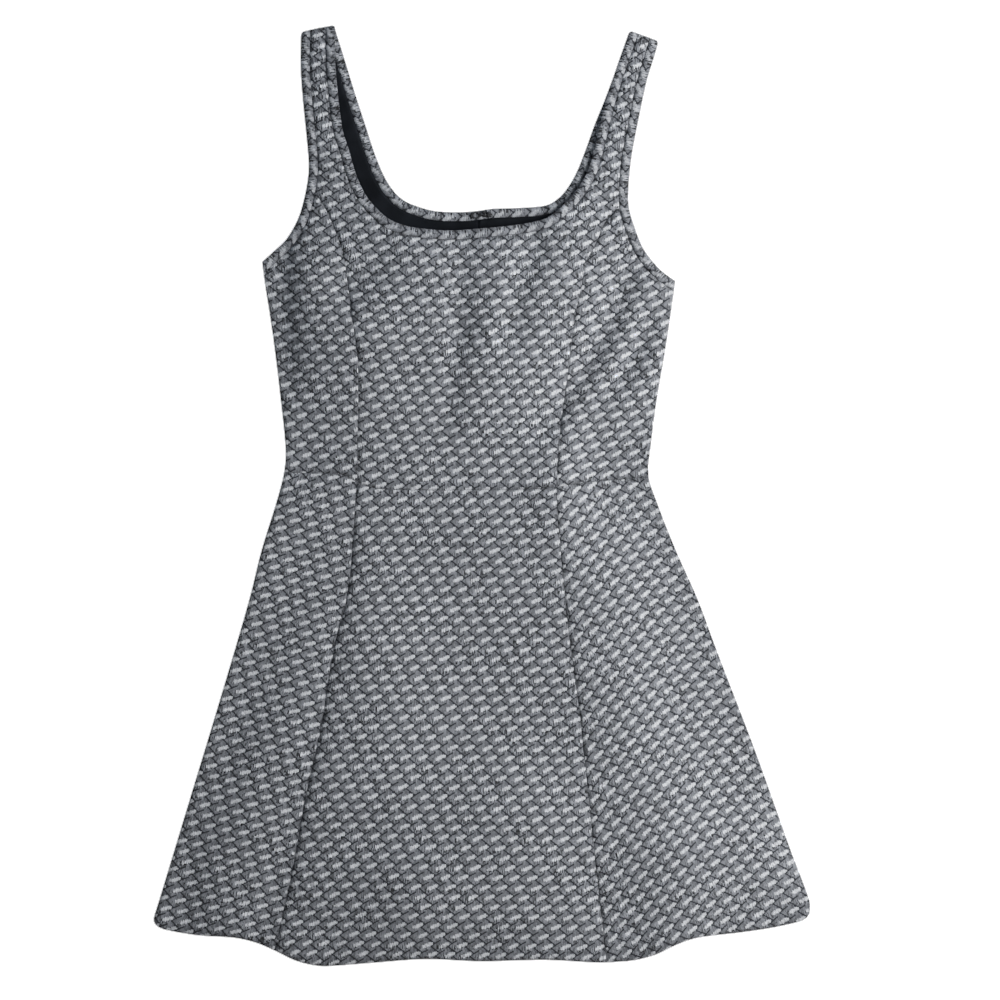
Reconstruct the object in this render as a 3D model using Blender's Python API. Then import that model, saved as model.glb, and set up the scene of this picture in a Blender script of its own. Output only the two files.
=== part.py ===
import math

import bmesh
import bpy
from mathutils import Vector

# A sleeveless fit and flare dress laid flat on its back, front up.
# +Y runs to the neck, +X to the right of someone looking down on it, and the floor is z = 0.
# Tables are in millimetres and every one lists places on the laid garment.

MM = 0.001
CLOTH = 1.5 * MM               # knit wall
BAND_CLOTH = 2.0 * MM          # folded band on the front
LINING_CLOTH = 1.0 * MM
GAP = 0.3 * MM                 # between neighbouring pieces
BAND_WIDTH = 8.5 * MM
LEFT_LINING_REACH = 24.5 * MM  # from the neck edge to the lining's hidden edge
RIGHT_LINING_REACH = 18.0 * MM
LINING_SHORT = 6.0 * MM        # the lining stops this far below the shoulder
BACK_HEM_SHORT = 3.0 * MM      # the back hem hides behind the front hem
EDGE_LOFT = 4.0 * MM           # how far the front layer lifts off the back away from its edges
EDGE_ROUNDING = 14.0 * MM
NECK_REST = 0.6                # share of that lift which is gone at the front neck edge
NECK_REACH = 12.0 * MM
CLEARANCE_RISE = 1.7 * MM     # room for the lining under the front
CLEARANCE_REACH = 5.0 * MM
OUTLINE_STEP = 13.0 * MM
BAND_STEP = 12.0 * MM
BODICE_CELL = (10.0 * MM, 13.0 * MM)
SKIRT_CELL = (14.0 * MM, 22.0 * MM)
CUT_SNAP = 0.2 * MM            # a cell line this near a point passes through the point
STRAP_CORNER = 4.0 * MM
LEFT_HEM_CORNER = 9.0 * MM
RIGHT_HEM_CORNER = 14.0 * MM
CORNER_STEPS = 4
CORNER_ROOM = 1.05             # outline points stay this many corner reaches from a rounded corner
LEAST_ROOM = 3.0 * MM          # and this far from a sharp one
PATH_OVERRUN = 30.0 * MM       # every cut line runs on past its ends so that neighbours cross
TINY = 1e-9

# x, y along each cut line, in the direction that keeps the panel's cloth on its left
SIDE_LEFT = [
    (-206, 224), (-203, 200), (-198, 168), (-193, 132), (-188, 90), (-183.5, 45), (-184.5, 24),
    (-191.5, -4), (-206, -51), (-217.5, -97), (-245, -191), (-273.5, -285), (-302, -379), (-308, -398),
]
SIDE_RIGHT = [
    (310, -398), (307, -379), (289.5, -332), (256, -238), (220, -144), (202.5, -97), (182, -51),
    (163.5, -4), (156, 20), (158, 43), (164, 90), (172, 137), (179, 184), (181.5, 203),
]
ARMHOLE_LEFT = [
    (-169, 436), (-169.3, 400), (-167.3, 371), (-163.6, 334), (-161.7, 310), (-162.7, 296),
    (-166.4, 277), (-172, 259), (-183, 240), (-193, 230.5), (-205, 219.5),
]
ARMHOLE_RIGHT = [
    (181.5, 201), (167, 212), (152, 230.5), (144, 249.5), (138.3, 268), (137.3, 282), (140, 315),
    (147, 352.5), (155, 390), (161, 409), (165.5, 424.5),
]
SHOULDER_LEFT = [(-134, 441.3), (-153, 438), (-172, 433.6)]
SHOULDER_RIGHT = [(172, 423.5), (153, 430.6), (134, 437.4)]
NECK_FRONT = [
    (138, 434), (125, 397), (115.5, 366), (107.5, 333), (100, 306), (92, 291), (83, 279), (74, 270),
    (60, 259.5), (29, 253), (-7, 249.5), (-30, 248), (-52, 249.5), (-69, 252), (-85, 258),
    (-96, 267), (-107, 279.5), (-117, 300), (-124, 324), (-130, 343), (-135, 383), (-137, 413),
    (-137, 436),
]
NECK_BACK = [
    (138, 434), (125, 397), (115, 370), (106, 348), (97, 323), (88, 301), (78, 285), (69, 276.5),
    (59.5, 272), (36, 270), (9, 269), (-4, 267), (-20, 266), (-44, 267), (-62, 272),
    (-72, 276.5), (-81, 284), (-90.5, 298), (-100, 320.5), (-109, 348), (-118.5, 377),
    (-128, 408), (-137, 436.5),
]
WAIST = [
    (-187, 22.5), (-160, 21), (-128, 19.5), (-114, 11), (-97, 7), (-76, 5.6), (0, 5.6), (64, 7.5),
    (92, 12), (125, 15), (160, 17.5),
]
HEM = [
    (-309, -401), (-297, -406), (-269, -411), (-231, -413.5), (-212, -418), (-194, -425.5),
    (-175, -435), (-160, -439.2), (-147, -440.6), (-109, -438), (-53, -434), (0, -436), (60, -434.5),
    (111, -437), (130, -436), (144, -434.5), (163, -429), (181, -420), (200, -413.5), (238, -409.5),
    (275, -404), (310, -396),
]
PRINCESS_LEFT = [
    (-163, 287), (-155, 282), (-148.6, 273), (-143, 263), (-138, 251), (-132, 235), (-128, 219),
    (-125, 198), (-121, 168), (-116, 133), (-115, 104), (-116, 60), (-116, 14),
]
PRINCESS_RIGHT = [
    (70, 10), (73.6, 59), (80, 108), (84, 142), (88.6, 173), (94, 198), (99, 221), (104.5, 231),
    (110, 243), (115, 255), (123, 265), (138, 281),
]
SKIRT_SEAM_LEFT = [
    (-116, 14), (-118, -4), (-121.5, -57), (-124, -81), (-129, -108), (-135, -128), (-143, -169),
    (-150, -215), (-165, -283), (-173, -328), (-180, -365), (-188, -400), (-196, -435),
]
SKIRT_SEAM_RIGHT = [
    (118, -445), (114, -407), (105.5, -332), (97, -250), (90.5, -191), (81, -121), (76.4, -74),
    (72, -27), (70, 12),
]
CENTRE_BACK = [(-12, 5), (-10, 180), (-1.5, 268)]
SKIRT_CENTRE_BACK = [(-5, -430), (-10, -150), (-12, 5)]

# The laid front's folds. Each row: x, y and height of its start, middle and end, then its half-width
FOLDS = [
    (-186, 235, -3.0, -190, 174, -7.0, -161, 109, -2.0, 10),     # hollow below the left arm
    (-123, 170, 0.5, -124, 200, -4.5, -75, 226, 1.0, 13),        # left bust
    (-164, 200, 3.5, -157, 120, 0.5, -161, 40, -2.5, 21),        # left side of the bodice
    (-19, 242, -1.5, -22, 156, -3.0, -33, 67, -1.5, 8),          # centre front
    (37, 246, -2.0, 24, 202, 1.0, 9, 156, 3.0, 8),               # beside the centre
    (49, 231, -4.5, 32, 184, -4.0, 25, 142, -1.5, 10),
    (122, 263, -3.0, 111, 184, -3.5, 54, 71, -3.0, 21),          # right bust, running down to the waist
    (140, 219, -3.0, 110, 142, -5.0, 59, 62, -4.0, 9),
    (163, 198, 2.0, 144, 132, -5.5, 100, 79, -1.0, 8),
    (173, 151, 2.0, 156, 111, 1.5, 111, 60, -3.0, 11),           # below the right arm
    (94, 60, -1.5, 119, 40, -2.0, 150, 30, 0.5, 18),
    (-54, 110, -3.5, -53, 60, -1.5, -64, 20, 0.5, 21),           # above the waist
    (-56, 190, 8.5, -85, 160, 9.0, -59, 125, 8.5, 48),           # bust fullness
    (47, 185, 9.5, 56, 160, 7.0, 35, 125, 9.0, 48),
    (-128, -22, -1.5, -143, -163, -2.0, -206, -407, -2.0, 9),    # along the left skirt seam
    (-163, -60, -4.0, -202, -210, 0.0, -240, -412, 0.5, 26),     # left flute
    (-214, -100, -0.5, -223, -180, -3.0, -251, -280, -0.5, 18),
    (-224, -210, -0.5, -265, -304, -2.0, -279, -402, -3.0, 12),
    (-47, -60, -3.0, -40, -135, -1.5, -56, -247, -2.5, 37),      # centre of the skirt
    (-131, -60, 0.5, -83, -200, 3.5, -68, -330, 3.0, 32),
    (12, -40, 3.0, 7, -180, -2.0, 0, -300, 4.0, 48),
    (41, -60, 0.5, 60, -150, 1.0, 72, -250, -2.0, 35),
    (-130, -270, 4.0, -134, -351, 2.0, -137, -436, -4.5, 46),    # front of the left flute
    (-65, -322, -0.5, -53, -379, 7.0, -40, -436, -7.5, 48),
    (47, -225, 0.5, 50, -320, 6.5, 66, -436, -1.5, 48),
    (94, -116, -0.5, 122, -266, 2.5, 145, -428, -2.5, 31),       # beside the right flute
    (72, 12, 4.5, 146, -191, 4.0, 186, -415, 8.0, 32),           # right flute
    (115, 0, -5.0, 159, -90, -3.5, 179, -190, -5.5, 48),
    (236, -285, -1.5, 247, -341, 3.5, 249, -402, -7.0, 48),
]
FOLD_SECTIONS = 12

# The fastened hook and eye, on the band where the two halves of the back meet
WIRE = 0.8 * MM
FASTENING_X = -1.5 * MM        # centre of the hook's bend
FASTENING_Y = 263.0 * MM
EYE_LENGTH = 8.8 * MM
EYE_WIDTH = 5.4 * MM
EYE_LIFT = 3.4 * MM            # the eye's wire at the end that the hook holds
EYE_SEGMENTS = 28
HOOK_LOW = 2.3 * MM            # the hook's tip under the eye, and its ring on the band
HOOK_HIGH = 4.5 * MM           # the hook's shank over the eye
HOOK_BEND_STEPS = 8
BEND_START = 1.1 * MM          # from the bend's centre back to where the bend starts,
TIP_END = 3.5 * MM             # to the free end of the tip,
SHANK_DROP = 4.6 * MM          # to where the shank starts down
SHANK_END = 7.0 * MM           # and to where it reaches the band
HOOK_RING = 1.5 * MM
HOOK_RING_STEPS = 10
HOOK_RING_TURN = 290.0         # degrees of the ring, which stays open


def smooth_path(rows, step=OUTLINE_STEP):
    """Points about one step apart on a smooth curve through a table's rows, run on past both ends."""
    knots = [Vector((x * MM, y * MM)) for x, y in rows]
    knots.insert(0, knots[0] * 2 - knots[1])
    knots.append(knots[-1] * 2 - knots[-2])
    points = [knots[1]]
    for before, start, end, after in zip(knots, knots[1:], knots[2:], knots[3:]):
        pieces = max(1, round((end - start).length / step))
        for piece in range(1, pieces + 1):
            points.append(curve_point(before, start, end, after, piece / pieces))
    first = (points[0] - points[1]).normalized() * PATH_OVERRUN
    last = (points[-1] - points[-2]).normalized() * PATH_OVERRUN
    return [points[0] + first] + points + [points[-1] + last]


def curve_point(before, start, end, after, along):
    """A point between start and end on a curve whose slope at each knot follows its neighbours."""
    span = (end - start).length
    leave = (end - before) * (span / ((start - before).length + span))
    arrive = (after - start) * (span / ((after - end).length + span))
    square, cube = along ** 2, along ** 3
    return (
        start * (2 * cube - 3 * square + 1)
        + leave * (cube - 2 * square + along)
        + end * (3 * square - 2 * cube)
        + arrive * (cube - square)
    )


def moved_left(path, distance):
    """The path moved sideways to its left, into the cloth."""
    if distance == 0:
        return path
    moved = []
    for index, point in enumerate(path):
        before = path[max(index - 1, 0)]
        after = path[min(index + 1, len(path) - 1)]
        along = (after - before).normalized()
        moved.append(point + Vector((-along.y, along.x)) * distance)
    return moved


def crossing(first, second):
    """Where two paths cross: the place along each, in segments, and the point."""
    for i in range(len(first) - 1):
        a, ab = first[i], first[i + 1] - first[i]
        for j in range(len(second) - 1):
            c, cd = second[j], second[j + 1] - second[j]
            area = ab.x * cd.y - ab.y * cd.x
            if abs(area) < TINY * ab.length * cd.length:
                continue
            ac = c - a
            along = (ac.x * cd.y - ac.y * cd.x) / area
            across = (ac.x * ab.y - ac.y * ab.x) / area
            if 0 <= along < 1 and 0 <= across < 1:
                return i + along, j + across, a + ab * along
    raise ValueError("two neighbouring cut lines don't cross")


def rounded(before, corner, after, reach):
    """A corner replaced by a short curve that starts and ends one reach from it."""
    start = corner + (before - corner).normalized() * reach
    end = corner + (after - corner).normalized() * reach
    points = []
    for step in range(CORNER_STEPS + 1):
        along = step / CORNER_STEPS
        points.append(start.lerp(corner, along).lerp(corner.lerp(end, along), along))
    return points


def outline(*sides):
    """The closed outline inside some sides, anticlockwise. A side is (path, inset, corner reach at its end)."""
    paths = [moved_left(path, inset) for path, inset, _ in sides]
    reaches = [reach for _, _, reach in sides]
    count = len(paths)
    ends = [crossing(paths[i], paths[(i + 1) % count]) for i in range(count)]
    stretches = []
    for i, path in enumerate(paths):
        enter, leave = ends[i - 1][1], ends[i][0]
        inner = path[math.floor(enter) + 1:math.ceil(leave)]
        first_room = max(reaches[i - 1] * CORNER_ROOM, LEAST_ROOM)
        last_room = max(reaches[i] * CORNER_ROOM, LEAST_ROOM)
        stretches.append([
            point for point in inner
            if (point - ends[i - 1][2]).length > first_room and (point - ends[i][2]).length > last_room
        ])
    points = []
    for i, stretch in enumerate(stretches):
        points += stretch
        corner = ends[i][2]
        if not reaches[i]:
            points.append(corner)
            continue
        following = stretches[(i + 1) % count] or [ends[(i + 1) % count][2]]
        before = stretch[-1] if stretch else ends[i - 1][2]
        points += rounded(before, corner, following[0], reaches[i])
    return points


def backwards(path, inset=0.0):
    return moved_left(path, inset)[::-1]


def distance_to(point, path):
    """Distance from a point to a path."""
    nearest = math.inf
    for a, b in zip(path, path[1:]):
        ab = b - a
        along = min(1.0, max(0.0, (point - a).dot(ab) / ab.length_squared))
        nearest = min(nearest, (point - a - ab * along).length)
    return nearest


def fold_line(row):
    """A fold's line as points with heights, curved through its start, middle and end, and its half-width."""
    start, middle, end = (Vector(row[i:i + 3]) * MM for i in (0, 3, 6))
    sections = []
    for section in range(FOLD_SECTIONS + 1):
        t = section / FOLD_SECTIONS
        sections.append(
            start * (1 - t) * (1 - 2 * t) + middle * 4 * t * (1 - t) + end * t * (2 * t - 1)
        )
    return sections, row[9] * MM


def fold_height(point, sections, half_width):
    """One fold's height at a point: its height at the nearest place along it, fading to both sides."""
    nearest, height = math.inf, 0.0
    for a, b in zip(sections, sections[1:]):
        ab = b.xy - a.xy
        along = min(1.0, max(0.0, (point - a.xy).dot(ab) / ab.length_squared))
        gap = (point - a.xy - ab * along).length
        if gap < nearest:
            nearest, height = gap, a.z + (b.z - a.z) * along
    return height * math.exp(-0.5 * (nearest / half_width) ** 2)


PATHS = {
    "side_left": smooth_path(SIDE_LEFT),
    "side_right": smooth_path(SIDE_RIGHT),
    "armhole_left": smooth_path(ARMHOLE_LEFT, BAND_STEP),
    "armhole_right": smooth_path(ARMHOLE_RIGHT, BAND_STEP),
    "shoulder_left": smooth_path(SHOULDER_LEFT),
    "shoulder_right": smooth_path(SHOULDER_RIGHT),
    "neck_front": smooth_path(NECK_FRONT, BAND_STEP),
    "neck_back": smooth_path(NECK_BACK, BAND_STEP),
    "waist": smooth_path(WAIST),
    "hem": smooth_path(HEM),
    "princess_left": smooth_path(PRINCESS_LEFT),
    "princess_right": smooth_path(PRINCESS_RIGHT),
    "skirt_seam_left": smooth_path(SKIRT_SEAM_LEFT, SKIRT_CELL[1]),
    "skirt_seam_right": smooth_path(SKIRT_SEAM_RIGHT, SKIRT_CELL[1]),
    "centre_back": smooth_path(CENTRE_BACK),
    "skirt_centre_back": smooth_path(SKIRT_CENTRE_BACK, SKIRT_CELL[1]),
}
CLOSED_EDGES = [
    PATHS[name]
    for name in ("side_left", "side_right", "armhole_left", "armhole_right", "shoulder_left", "shoulder_right")
]
FOLD_LINES = [fold_line(row) for row in FOLDS]


def front_height(point):
    """The underside of the front layer: down on the back along the closed edges, lifted inside, with folds."""
    edge = min(distance_to(point, path) for path in CLOSED_EDGES)
    neck = distance_to(point, PATHS["neck_front"])
    settled = (1 - math.exp(-edge / EDGE_ROUNDING)) * (1 - NECK_REST * math.exp(-neck / NECK_REACH))
    folds = sum(fold_height(point, sections, width) for sections, width in FOLD_LINES)
    lowest = CLOTH + GAP + min(CLEARANCE_RISE, CLEARANCE_RISE * edge / CLEARANCE_REACH)
    return max(lowest, CLOTH + GAP + (EDGE_LOFT + folds) * settled)


def material(name, colour, roughness, metallic=0.0):
    made = bpy.data.materials.new(name)
    made.use_nodes = True
    shader = made.node_tree.nodes["Principled BSDF"]
    shader.inputs["Base Color"].default_value = (*colour, 1.0)
    shader.inputs["Roughness"].default_value = roughness
    shader.inputs["Metallic"].default_value = metallic
    return made


def add_object(name, bm, finish):
    mesh = bpy.data.meshes.new(name)
    bm.to_mesh(mesh)
    bm.free()
    mesh.materials.append(finish)
    made = bpy.data.objects.new(name, mesh)
    bpy.context.scene.collection.objects.link(made)
    return made


def cut_into_cells(bm, cell):
    """Cuts a flat sheet along straight lines one cell apart, so that it can follow folds."""
    for axis in (0, 1):
        normal = Vector((1, 0, 0)) if axis == 0 else Vector((0, 1, 0))
        places = [vert.co[axis] for vert in bm.verts]
        line = math.ceil(min(places) / cell[axis]) * cell[axis]
        while line < max(places):
            bmesh.ops.bisect_plane(
                bm, geom=bm.verts[:] + bm.edges[:] + bm.faces[:], dist=CUT_SNAP,
                plane_co=normal * line, plane_no=normal,
            )
            line += cell[axis]


def panel(name, points, wall, finish, base=0.0, height=None, cell=None):
    """A wall of cloth inside an outline: flat on its base, or with its underside at a height for each point."""
    bm = bmesh.new()
    bm.faces.new([bm.verts.new((point.x, point.y, base)) for point in points])
    bm.normal_update()
    if cell:
        cut_into_cells(bm, cell)
    bmesh.ops.triangulate(bm, faces=bm.faces[:])
    if height:
        for vert in bm.verts:
            vert.co.z = height(vert.co.xy)
    top = bmesh.ops.extrude_face_region(bm, geom=bm.faces[:])
    lifted = [item for item in top["geom"] if isinstance(item, bmesh.types.BMVert)]
    bmesh.ops.translate(bm, verts=lifted, vec=(0, 0, wall))
    bmesh.ops.recalc_face_normals(bm, faces=bm.faces[:])
    return add_object(name, bm, finish)


def wire(name, points, finish, closed=False):
    """A bent wire of round section through some points."""
    curve = bpy.data.curves.new(name, "CURVE")
    curve.dimensions = "3D"
    curve.bevel_depth = WIRE / 2
    curve.bevel_resolution = 1
    curve.use_fill_caps = not closed
    spline = curve.splines.new("POLY")
    spline.points.add(len(points) - 1)
    for slot, point in zip(spline.points, points):
        slot.co = (*point, 1.0)
    spline.use_cyclic_u = closed
    curve.materials.append(finish)
    made = bpy.data.objects.new(name, curve)
    bpy.context.scene.collection.objects.link(made)
    return made


def make_front(knit):
    """The front's six panels, parted by the waist and the princess seams and edged by the bands."""
    seam = GAP / 2
    inside_band = BAND_WIDTH + GAP
    bodice = {"height": front_height, "cell": BODICE_CELL}
    skirt = {"height": front_height, "cell": SKIRT_CELL}
    panel("front_bodice_centre", outline(
        (PATHS["waist"], seam, 0),
        (PATHS["princess_right"], seam, 0),
        (PATHS["armhole_right"], inside_band, 0),
        (PATHS["shoulder_right"], 0, 0),
        (PATHS["neck_front"], inside_band, 0),
        (PATHS["shoulder_left"], 0, 0),
        (PATHS["armhole_left"], inside_band, 0),
        (PATHS["princess_left"], seam, 0),
    ), CLOTH, knit, **bodice)
    panel("front_bodice_left", outline(
        (PATHS["side_left"], 0, 0),
        (PATHS["waist"], seam, 0),
        (backwards(PATHS["princess_left"]), seam, 0),
        (PATHS["armhole_left"], inside_band, 0),
    ), CLOTH, knit, **bodice)
    panel("front_bodice_right", outline(
        (PATHS["waist"], seam, 0),
        (PATHS["side_right"], 0, 0),
        (PATHS["armhole_right"], inside_band, 0),
        (backwards(PATHS["princess_right"]), seam, 0),
    ), CLOTH, knit, **bodice)
    panel("front_skirt_centre", outline(
        (PATHS["hem"], 0, 0),
        (PATHS["skirt_seam_right"], seam, 0),
        (backwards(PATHS["waist"]), seam, 0),
        (PATHS["skirt_seam_left"], seam, 0),
    ), CLOTH, knit, **skirt)
    panel("front_skirt_left", outline(
        (PATHS["side_left"], 0, LEFT_HEM_CORNER),
        (PATHS["hem"], 0, 0),
        (backwards(PATHS["skirt_seam_left"]), seam, 0),
        (backwards(PATHS["waist"]), seam, 0),
    ), CLOTH, knit, **skirt)
    panel("front_skirt_right", outline(
        (PATHS["hem"], 0, RIGHT_HEM_CORNER),
        (PATHS["side_right"], 0, 0),
        (backwards(PATHS["waist"]), seam, 0),
        (backwards(PATHS["skirt_seam_right"]), seam, 0),
    ), CLOTH, knit, **skirt)


def make_back(knit):
    """The back's halves, flat on the floor, parted at the centre back."""
    seam = GAP / 2
    inside_band = BAND_WIDTH + GAP
    hem_back = moved_left(PATHS["hem"], BACK_HEM_SHORT)
    panel("back_bodice_left", outline(
        (PATHS["side_left"], 0, 0),
        (PATHS["waist"], seam, 0),
        (PATHS["centre_back"], seam, 0),
        (PATHS["neck_back"], inside_band, 0),
        (PATHS["shoulder_left"], 0, 0),
        (PATHS["armhole_left"], inside_band, 0),
    ), CLOTH, knit)
    panel("back_bodice_right", outline(
        (PATHS["waist"], seam, 0),
        (PATHS["side_right"], 0, 0),
        (PATHS["armhole_right"], inside_band, 0),
        (PATHS["shoulder_right"], 0, 0),
        (PATHS["neck_back"], inside_band, 0),
        (backwards(PATHS["centre_back"]), seam, 0),
    ), CLOTH, knit)
    panel("back_skirt_left", outline(
        (PATHS["side_left"], 0, LEFT_HEM_CORNER),
        (hem_back, 0, 0),
        (PATHS["skirt_centre_back"], seam, 0),
        (backwards(PATHS["waist"]), seam, 0),
    ), CLOTH, knit)
    panel("back_skirt_right", outline(
        (hem_back, 0, RIGHT_HEM_CORNER),
        (PATHS["side_right"], 0, 0),
        (backwards(PATHS["waist"]), seam, 0),
        (backwards(PATHS["skirt_centre_back"]), seam, 0),
    ), CLOTH, knit)


def make_bands(band):
    """The narrow folded bands round the neck and the armholes, front and back."""
    seam = GAP / 2
    panel("neck_band_front", outline(
        (PATHS["neck_front"], 0, STRAP_CORNER),
        (PATHS["shoulder_left"], 0, 0),
        (backwards(PATHS["neck_front"], BAND_WIDTH), 0, 0),
        (PATHS["shoulder_right"], 0, STRAP_CORNER),
    ), BAND_CLOTH, band, height=front_height)
    panel("neck_band_back_left", outline(
        (PATHS["centre_back"], seam, 0),
        (PATHS["neck_back"], 0, STRAP_CORNER),
        (PATHS["shoulder_left"], 0, 0),
        (backwards(PATHS["neck_back"], BAND_WIDTH), 0, 0),
    ), CLOTH, band)
    panel("neck_band_back_right", outline(
        (backwards(PATHS["centre_back"]), seam, 0),
        (backwards(PATHS["neck_back"], BAND_WIDTH), 0, 0),
        (PATHS["shoulder_right"], 0, STRAP_CORNER),
        (PATHS["neck_back"], 0, 0),
    ), CLOTH, band)
    for layer, wall, lift in (("front", BAND_CLOTH, front_height), ("back", CLOTH, None)):
        panel(f"armhole_band_left_{layer}", outline(
            (PATHS["armhole_left"], 0, 0),
            (PATHS["side_left"], 0, 0),
            (backwards(PATHS["armhole_left"], BAND_WIDTH), 0, 0),
            (PATHS["shoulder_left"], 0, STRAP_CORNER),
        ), wall, band, height=lift)
        panel(f"armhole_band_right_{layer}", outline(
            (PATHS["armhole_right"], 0, STRAP_CORNER),
            (PATHS["shoulder_right"], 0, 0),
            (backwards(PATHS["armhole_right"], BAND_WIDTH), 0, 0),
            (PATHS["side_right"], 0, 0),
        ), wall, band, height=lift)


def make_lining(lining):
    """The lining inside the back neck, laid on the back bodice from its band to under the front."""
    from_edge = BAND_WIDTH + GAP
    base = CLOTH + GAP
    seam = GAP / 2
    panel("back_lining_left", outline(
        (PATHS["centre_back"], seam, 0),
        (PATHS["neck_back"], from_edge, 0),
        (PATHS["shoulder_left"], LINING_SHORT, 0),
        (backwards(PATHS["neck_back"], LEFT_LINING_REACH), 0, 0),
    ), LINING_CLOTH, lining, base=base)
    panel("back_lining_right", outline(
        (backwards(PATHS["centre_back"]), seam, 0),
        (backwards(PATHS["neck_back"], RIGHT_LINING_REACH), 0, 0),
        (PATHS["shoulder_right"], LINING_SHORT, 0),
        (PATHS["neck_back"], from_edge, 0),
    ), LINING_CLOTH, lining, base=base)


def make_fastening(metal):
    """The eye's oval loop and the hook whose bend holds it, both of wire."""
    x, y = FASTENING_X, FASTENING_Y
    slope = (EYE_LIFT - HOOK_LOW) / EYE_LENGTH
    loop = []
    for step in range(EYE_SEGMENTS):
        angle = 2 * math.pi * step / EYE_SEGMENTS
        from_held_end = EYE_LENGTH / 2 * (1 - math.cos(angle))
        loop.append((
            x + BEND_START - from_held_end,
            y + EYE_WIDTH / 2 * math.sin(angle),
            EYE_LIFT - slope * from_held_end,
        ))
    wire("eye", loop, metal, closed=True)

    bend = (HOOK_HIGH - HOOK_LOW) / 2
    path = [(x + TIP_END, y, HOOK_LOW), (x + BEND_START, y, HOOK_LOW)]
    for step in range(1, HOOK_BEND_STEPS):
        angle = math.pi * step / HOOK_BEND_STEPS
        path.append((x - bend * math.sin(angle), y, HOOK_LOW + bend * (1 - math.cos(angle))))
    path.append((x + BEND_START, y, HOOK_HIGH))
    path.append((x + SHANK_DROP, y, HOOK_HIGH))
    path.append((x + SHANK_END, y, HOOK_LOW))
    ring_x = x + SHANK_END + 2 * HOOK_RING
    turn = math.radians(HOOK_RING_TURN)
    for step in range(HOOK_RING_STEPS + 1):
        angle = math.pi - turn * step / HOOK_RING_STEPS
        path.append((ring_x + HOOK_RING * math.cos(angle), y + HOOK_RING * math.sin(angle), HOOK_LOW))
    wire("hook", path, metal)


def main():
    for item in list(bpy.data.objects):
        bpy.data.objects.remove(item)
    knit = material("patterned knit", (0.19, 0.20, 0.215), 0.85)
    band = material("folded knit band", (0.17, 0.18, 0.20), 0.85)
    lining = material("black lining", (0.009, 0.010, 0.012), 0.7)
    metal = material("black enamelled wire", (0.012, 0.012, 0.013), 0.35, 0.6)
    make_front(knit)
    make_back(knit)
    make_bands(band)
    make_lining(lining)
    make_fastening(metal)


main()
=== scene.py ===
import math

import bmesh
import bpy
import numpy as np
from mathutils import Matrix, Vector


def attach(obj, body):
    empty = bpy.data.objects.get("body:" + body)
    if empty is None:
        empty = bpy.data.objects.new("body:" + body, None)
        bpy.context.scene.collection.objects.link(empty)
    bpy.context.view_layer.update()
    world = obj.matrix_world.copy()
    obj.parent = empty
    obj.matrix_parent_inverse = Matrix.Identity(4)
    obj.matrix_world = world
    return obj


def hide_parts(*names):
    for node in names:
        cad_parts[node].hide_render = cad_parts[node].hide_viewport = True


# The looks of a sleeveless knit dress laid flat, front up, hem towards -Y and neck towards +Y

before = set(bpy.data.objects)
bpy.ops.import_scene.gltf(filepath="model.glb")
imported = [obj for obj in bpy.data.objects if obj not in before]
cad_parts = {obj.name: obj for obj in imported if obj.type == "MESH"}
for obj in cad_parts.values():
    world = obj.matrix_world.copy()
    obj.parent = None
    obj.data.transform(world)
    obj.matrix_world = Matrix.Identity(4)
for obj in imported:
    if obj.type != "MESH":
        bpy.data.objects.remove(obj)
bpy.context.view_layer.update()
print("frame loaded with", len(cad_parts), "nodes")

mm = 0.001

cloth = {
    "knit": 1.5 * mm,          # wall of a knit panel
    "band": 1.8 * mm,          # the folded bands
    "lining": 1.0 * mm,
    "gap": 0.3 * mm,           # between neighbouring pieces
    "bandWidth": 8.5 * mm,
    "pathStep": 7.0 * mm,      # between the points of a cut line
    "endRoom": 0.4,            # a corner has no other point within this share of a step
    "cornerRoom": 1.05,        # or, where it is rounded, within this many of its reach
    "panelCell": 4.0 * mm,     # grid that lets a panel follow its folds
    "backCell": 6.0 * mm,
    "bandCell": 4.0 * mm,
    "liningCell": 2.0 * mm,
    "mergeReach": 0.1 * mm,    # the grid makes no new point nearer than this to an old one
    "panelRings": (0.5 * mm, 1.2 * mm, 2.6 * mm),  # extra lines round the edge that carry its roll
    "bandRings": (0.5 * mm, 1.2 * mm, 2.4 * mm),
    "liningRings": (0.4 * mm, 1.0 * mm),
    "roll": 0.7 * mm,          # radius of a panel's edge at a seam
    "liningRoll": 0.8 * mm,
    "outerRoll": 1.4 * mm,     # and where the cloth turns under
    "thinnest": 0.2,           # share of the wall that is left at an edge
    "seamDip": 0.28 * mm,      # how far the cloth sinks beside a seam
    "bandDip": 0.2 * mm,
    "seamReach": 3.5 * mm,
    "rimReach": 5.0 * mm,      # how far in from where the cloth turns under its colour is darkened, a painted shade
    "seamShade": 1.2 * mm,     # and beside a seam, painted shade as well
    "seamShadeDepth": 1.15,
    "closingReach": 0.3 * mm,  # the front turns down to the back this near a side seam
    "closingGap": 0.05 * mm,   # and stops this far above it
    "sharpAngle": 65,          # degrees, past which an edge isn't smoothed
    "cornerSteps": 5,
    "overrun": 30.0 * mm,      # cut lines run on so that neighbours cross
}

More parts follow.
